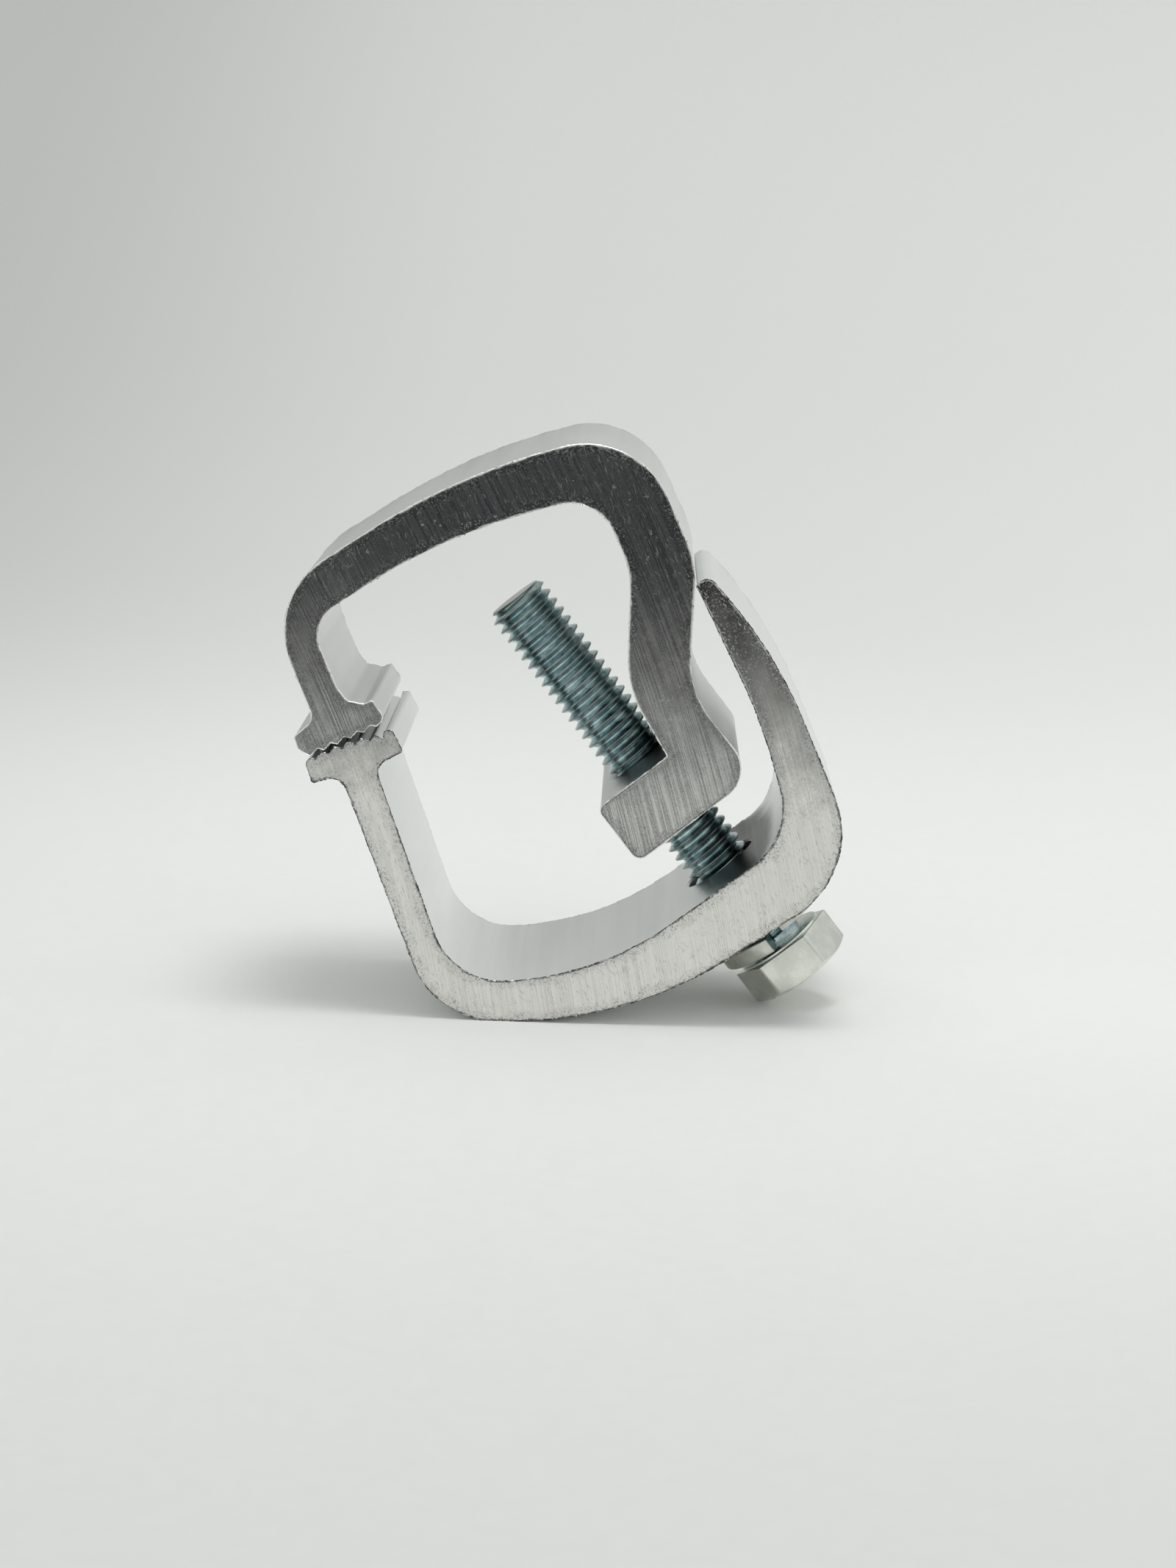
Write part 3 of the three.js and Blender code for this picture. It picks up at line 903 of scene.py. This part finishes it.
def burr_edge(name, dark, light, bright_share, seed):
    """The torn rim that the saw left: light and dark by turns, with bright specks. Its dark stretches are
    partly painted shade, and its light stretches and specks partly painted highlights and glints.
    """
    finish = Finish(name)
    offset = finish.vector("ADD", finish.place, (seed, 0, seed))
    tears = finish.noise(offset, 1.7, 4, 0.75)
    specks = finish.noise(offset, 5.0, 2, 0.6)
    share = finish.range(tears, 0.62 - 0.3 * bright_share, 0.72 - 0.3 * bright_share)
    colour = finish.mix(share, dark, light)
    colour = finish.mix(finish.range(specks, 0.62, 0.7), colour, FRESH_METAL_AND_GLINT)
    finish.set("Base Color", colour)
    finish.set("Roughness", finish.range(specks, 0.3, 0.7, 0.5, 0.2))
    finish.bump(finish.sum(tears, (specks, 0.6)), 0.05)
    return finish.material


def zinc_plate(name):
    """Bright zinc: pale and warm on the head, with a blue-green passivation on the thread."""
    finish = Finish(name)
    cloud = finish.noise(finish.place, 0.25, 4, 0.6)
    grain = finish.noise(finish.place, 7.0, 3, 0.65)
    swirl = finish.noise(finish.stretched(0.4, 0.4, 1.6), 1.1, 3, 0.6)
    height = finish.vector("DOT_PRODUCT", finish.place, (0, 0, 1))
    on_thread = finish.range(height, -0.02, 0.1)
    head = finish.mix(finish.range(cloud, 0.35, 0.65), (0.69, 0.71, 0.66), (0.85, 0.85, 0.79))
    thread = finish.mix(finish.range(swirl, 0.35, 0.65), (0.25, 0.36, 0.38), (0.56, 0.66, 0.68))
    colour = finish.mix(on_thread, head, thread)
    radius = finish.vector("LENGTH", finish.stretched(1, 1, 0))
    # The thread's crests are painted dark: partly wear, partly painted shade for the shaded edge below
    # each crest.
    on_crest = finish.range(radius, BOLT.major_radius - 0.15, BOLT.major_radius, 0, 0.55)
    crest_wear_and_shade = finish.product(on_crest, on_thread)
    colour = finish.mix(crest_wear_and_shade, colour, (0.22, 0.21, 0.19))
    sheared = finish.range(height, BOLT.length - 0.6, BOLT.length - 0.1, 0, 0.8)
    colour = finish.mix(sheared, colour, (0.20, 0.24, 0.23))
    finish.set("Base Color", colour)
    base_roughness = finish.range(on_thread, 0, 1, 0.36, 0.3)
    finish.set("Roughness", finish.sum(base_roughness, (cloud, 0.15), (grain, 0.2), (crest_wear_and_shade, 0.2)))
    finish.bump(finish.sum(grain, (swirl, 0.8)), 0.012, 0.6)
    return finish.material


def spring_steel(name, dark, light, inside):
    """Plated spring wire, with rolling lines round the ring, and painted shade that makes it darker
    inside it, next to the bolt.
    """
    finish = Finish(name)
    radius = finish.vector("LENGTH", finish.stretched(1, 1, 0))
    height = finish.vector("DOT_PRODUCT", finish.place, (0, 0, 1))
    rolled_at = finish.node("ShaderNodeCombineXYZ", {}, {"X": radius, "Y": height}).outputs[0]
    rolled = finish.noise(rolled_at, 4.0, 3, 0.6)
    cloud = finish.noise(finish.place, 0.5, 4, 0.6)
    grain = finish.noise(finish.place, 9.0, 2, 0.6)
    colour = finish.mix(finish.range(cloud, 0.3, 0.7), dark, light)
    outside_radius = LOCK_WASHER.inside_radius + LOCK_WASHER.width
    # Painted shade on the ring's inner part, round the bolt.
    painted_inner_shade = finish.range(radius, outside_radius - 0.3, outside_radius - 0.8)
    finish.set("Base Color", finish.mix(painted_inner_shade, colour, inside))
    finish.set("Roughness", finish.sum(0.34, (rolled, 0.2), (grain, 0.2)))
    finish.bump(finish.sum(rolled, (grain, 0.6)), 0.012, 0.6)
    return finish.material


# ---- Placing the pieces ---------------------------------------------------------------------

def finished(piece, node, body):
    """Turns a design-frame solid into a piece of the object, shaded smooth but for its real edges."""
    mesh = piece.data
    mesh.transform(DESIGN_TO_WORLD)
    mesh.shade_smooth()
    mesh.set_sharp_from_angle(angle=SHARP_ANGLE)
    keep_cap_flat(mesh)
    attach(piece, body)
    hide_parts(node)


def keep_cap_flat(mesh):
    """A jaw's sawn face stays flat up to its rim: the edges where it meets the burr are sharp."""
    finishes_at = {}
    for polygon in mesh.polygons:
        for key in polygon.edge_keys:
            finishes_at.setdefault(key, set()).add(polygon.material_index)
    for edge in mesh.edges:
        if {SAWN, BURR} <= finishes_at.get(tuple(sorted(edge.vertices)), set()):
            edge.use_edge_sharp = True


lower_jaw = make_lower_jaw([
    extruded_aluminium("lower_jaw_wall", (0.97, 0.98, 0.97), seed=0),
    sawn_aluminium("lower_jaw_sawn", 2.0, (0.03, 0.03, 0.03), (0.885, 0.875, 0.84),
                   dark_above=56, light_below=22, curve=1.55, contrast=0.32,
                   peening=1.0, dark_peening=0.55, mark=(0.28, 0.28, 0.27)),
    # The lower jaw's burr is mostly dark: partly painted shade along its edge.
    burr_edge("lower_jaw_burr", (0.05, 0.055, 0.055), (0.62, 0.62, 0.60), bright_share=0.4, seed=5),
])
upper_jaw = make_upper_jaw([
    extruded_aluminium("upper_jaw_wall", (0.80, 0.81, 0.80), seed=40),
    # The upper jaw's sawn face is painted darker than the lower jaw's: a painted darker reflection of the
    # same aluminium.
    sawn_aluminium("upper_jaw_sawn", 7.0, (0.088, 0.089, 0.093), (0.68, 0.68, 0.66),
                   dark_above=60, light_below=22, curve=1.7, contrast=0.9,
                   peening=0.45, dark_peening=0.12, mark=(0.40, 0.41, 0.40)),
    # The upper jaw's burr is painted light: partly a painted highlight along its top edge.
    burr_edge("upper_jaw_burr", (0.30, 0.30, 0.30), (0.95, 0.95, 0.93), bright_share=0.9, seed=9),
])
bolt = make_bolt([zinc_plate("zinc_plate")])
lock_washer = make_lock_washer([
    spring_steel("spring_steel_band", (0.52, 0.55, 0.50), (0.72, 0.73, 0.67), inside=(0.20, 0.28, 0.27)),
    spring_steel("spring_steel_cut", (0.08, 0.13, 0.13), (0.22, 0.30, 0.29), inside=(0.12, 0.18, 0.18)),
])
finished(lower_jaw, "lower_jaw", "lower_jaw")
finished(upper_jaw, "upper_jaw", "upper_jaw")
finished(bolt, "hex_bolt", "bolt")
finished(lock_washer, "lock_washer", "lock_washer")


# ---- Stage ----------------------------------------------------------------------------------

BACKDROP = SimpleNamespace(width=6.0, near=-1.6, far=0.3, bend=1.5, height=2.2)
BEND_STEP = 3                   # degrees

# Painted light and shade on the paper, where its shade changes with the distance behind the clamp, in
# millimetres: the stretch's two ends and the shade at each.
PAINTED_PAPER_LIGHT = ((-260, 40, 0.88, 1.08), (60, 480, 1, 0.85), (600, 1000, 1, 1.07))
PAINTED_PAPER_SHADE_LEFT = (-60, -270)        # and where its left side darkens


def backdrop_profile():
    """The sheet's (y, z) points, from its near edge to its top."""
    points = [(BACKDROP.near, 0.0), (BACKDROP.far, 0.0)]
    for degrees in range(BEND_STEP, 90 + BEND_STEP, BEND_STEP):
        angle = math.radians(degrees)
        y = BACKDROP.far + BACKDROP.bend * math.sin(angle)
        points.append((y, BACKDROP.bend * (1 - math.cos(angle))))
    points.append((BACKDROP.far + BACKDROP.bend, BACKDROP.height))
    return points


def backdrop_paper():
    """Pale paper, with painted light that makes it brightest just behind the clamp and painted shade that
    makes it a little darker to the left.
    """
    finish = Finish("backdrop_paper", metallic=0.0)
    paper = finish.noise(finish.place, 0.4, 3)
    colour = finish.mix(paper, (0.79, 0.80, 0.78), (0.82, 0.83, 0.81))
    to_right = finish.vector("DOT_PRODUCT", finish.place, WORLD_RIGHT)
    # Painted shade: the paper's left side is painted darker.
    colour = finish.mix(finish.range(to_right, *PAINTED_PAPER_SHADE_LEFT), colour, (0.64, 0.65, 0.63))
    away = finish.vector("DOT_PRODUCT", finish.place, (0, 1, 0))
    for start, end, shade_at_start, shade_at_end in PAINTED_PAPER_LIGHT:
        shade = finish.range(away, start, end, shade_at_start, shade_at_end)
        colour = finish.vector("SCALE", colour, Scale=shade)
    finish.set("Base Color", colour)
    finish.set("Roughness", finish.range(paper, 0.3, 0.7, 0.65, 0.8))
    return finish.material


def make_backdrop():
    """A floor that curves up into a wall behind, in one sheet."""
    profile = backdrop_profile()
    sides = (-BACKDROP.width / 2, BACKDROP.width / 2)
    vertices = [(x, y, z) for y, z in profile for x in sides]
    faces = [(2 * k, 2 * k + 1, 2 * k + 3, 2 * k + 2) for k in range(len(profile) - 1)]
    backdrop = solid("backdrop", vertices, faces, [backdrop_paper()])
    backdrop.data.shade_smooth()


def add_softbox(name, place, aim, size, power):
    """A rectangular lamp, with its size in metres and its power in watts."""
    light = bpy.data.lights.new(name, "AREA")
    light.shape = "RECTANGLE"
    light.size, light.size_y = size
    light.energy = power
    lamp = bpy.data.objects.new(name, light)
    bpy.context.scene.collection.objects.link(lamp)
    lamp.location = place
    lamp.rotation_euler = (Vector(aim) - Vector(place)).to_track_quat("-Z", "Y").to_euler()


WORLD = SimpleNamespace(
    colour=(0.98, 1.0, 0.985, 1),
    brightest=(0.4, 0.0, 0.92),         # where the brightest light comes from
    dim_below=-0.6,                     # a direction is dimmest from this share of the way there
    dim=0.27,
    bright=0.85,
)


def make_world():
    """Soft light from all round, brightest from above on the right."""
    world = bpy.data.worlds.new("studio")
    world.use_nodes = True
    tree = world.node_tree
    shader = tree.nodes["Background"]
    coordinates = tree.nodes.new("ShaderNodeTexCoord")
    towards = tree.nodes.new("ShaderNodeVectorMath")
    towards.operation = "DOT_PRODUCT"
    towards.inputs[1].default_value = WORLD.brightest
    level = tree.nodes.new("ShaderNodeMapRange")
    level.inputs["From Min"].default_value = WORLD.dim_below
    level.inputs["From Max"].default_value = 1.0
    level.inputs["To Min"].default_value = WORLD.dim
    level.inputs["To Max"].default_value = WORLD.bright
    tree.links.new(coordinates.outputs["Generated"], towards.inputs[0])
    tree.links.new(towards.outputs["Value"], level.inputs["Value"])
    tree.links.new(level.outputs[0], shader.inputs["Strength"])
    shader.inputs["Color"].default_value = WORLD.colour
    bpy.context.scene.world = world


CAMERA = SimpleNamespace(
    place=(0.00866, -0.53483, 0.12171),
    pitch=math.radians(9.609),          # how far it looks down
    yaw=math.radians(0.991),
    roll=math.radians(1.840),
    lens=86.57,
    sensor_height=36.0,
)


def make_camera():
    data = bpy.data.cameras.new("camera")
    data.sensor_fit = "VERTICAL"
    data.sensor_height = CAMERA.sensor_height
    data.lens = CAMERA.lens
    data.clip_start = 0.01
    camera = bpy.data.objects.new("camera", data)
    bpy.context.scene.collection.objects.link(camera)
    look_down = Matrix.Rotation(math.pi / 2 - CAMERA.pitch, 4, "X")
    turn = Matrix.Rotation(CAMERA.yaw, 4, "Z") @ look_down
    place = Matrix.Translation(CAMERA.place)
    camera.matrix_world = place @ Matrix.Rotation(-CAMERA.roll, 4, "Y") @ turn
    bpy.context.scene.camera = camera


make_backdrop()
make_world()
add_softbox("key", (0.06, -0.09, 0.74), (0, 0, 0.03), (0.28, 0.28), 1.8)
add_softbox("backdrop", (0.6, 0.3, 0.5), (0.58, 1.0, 0.15), (0.7, 0.4), 1.8)
make_camera()
bpy.context.scene.view_settings.view_transform = "Standard"
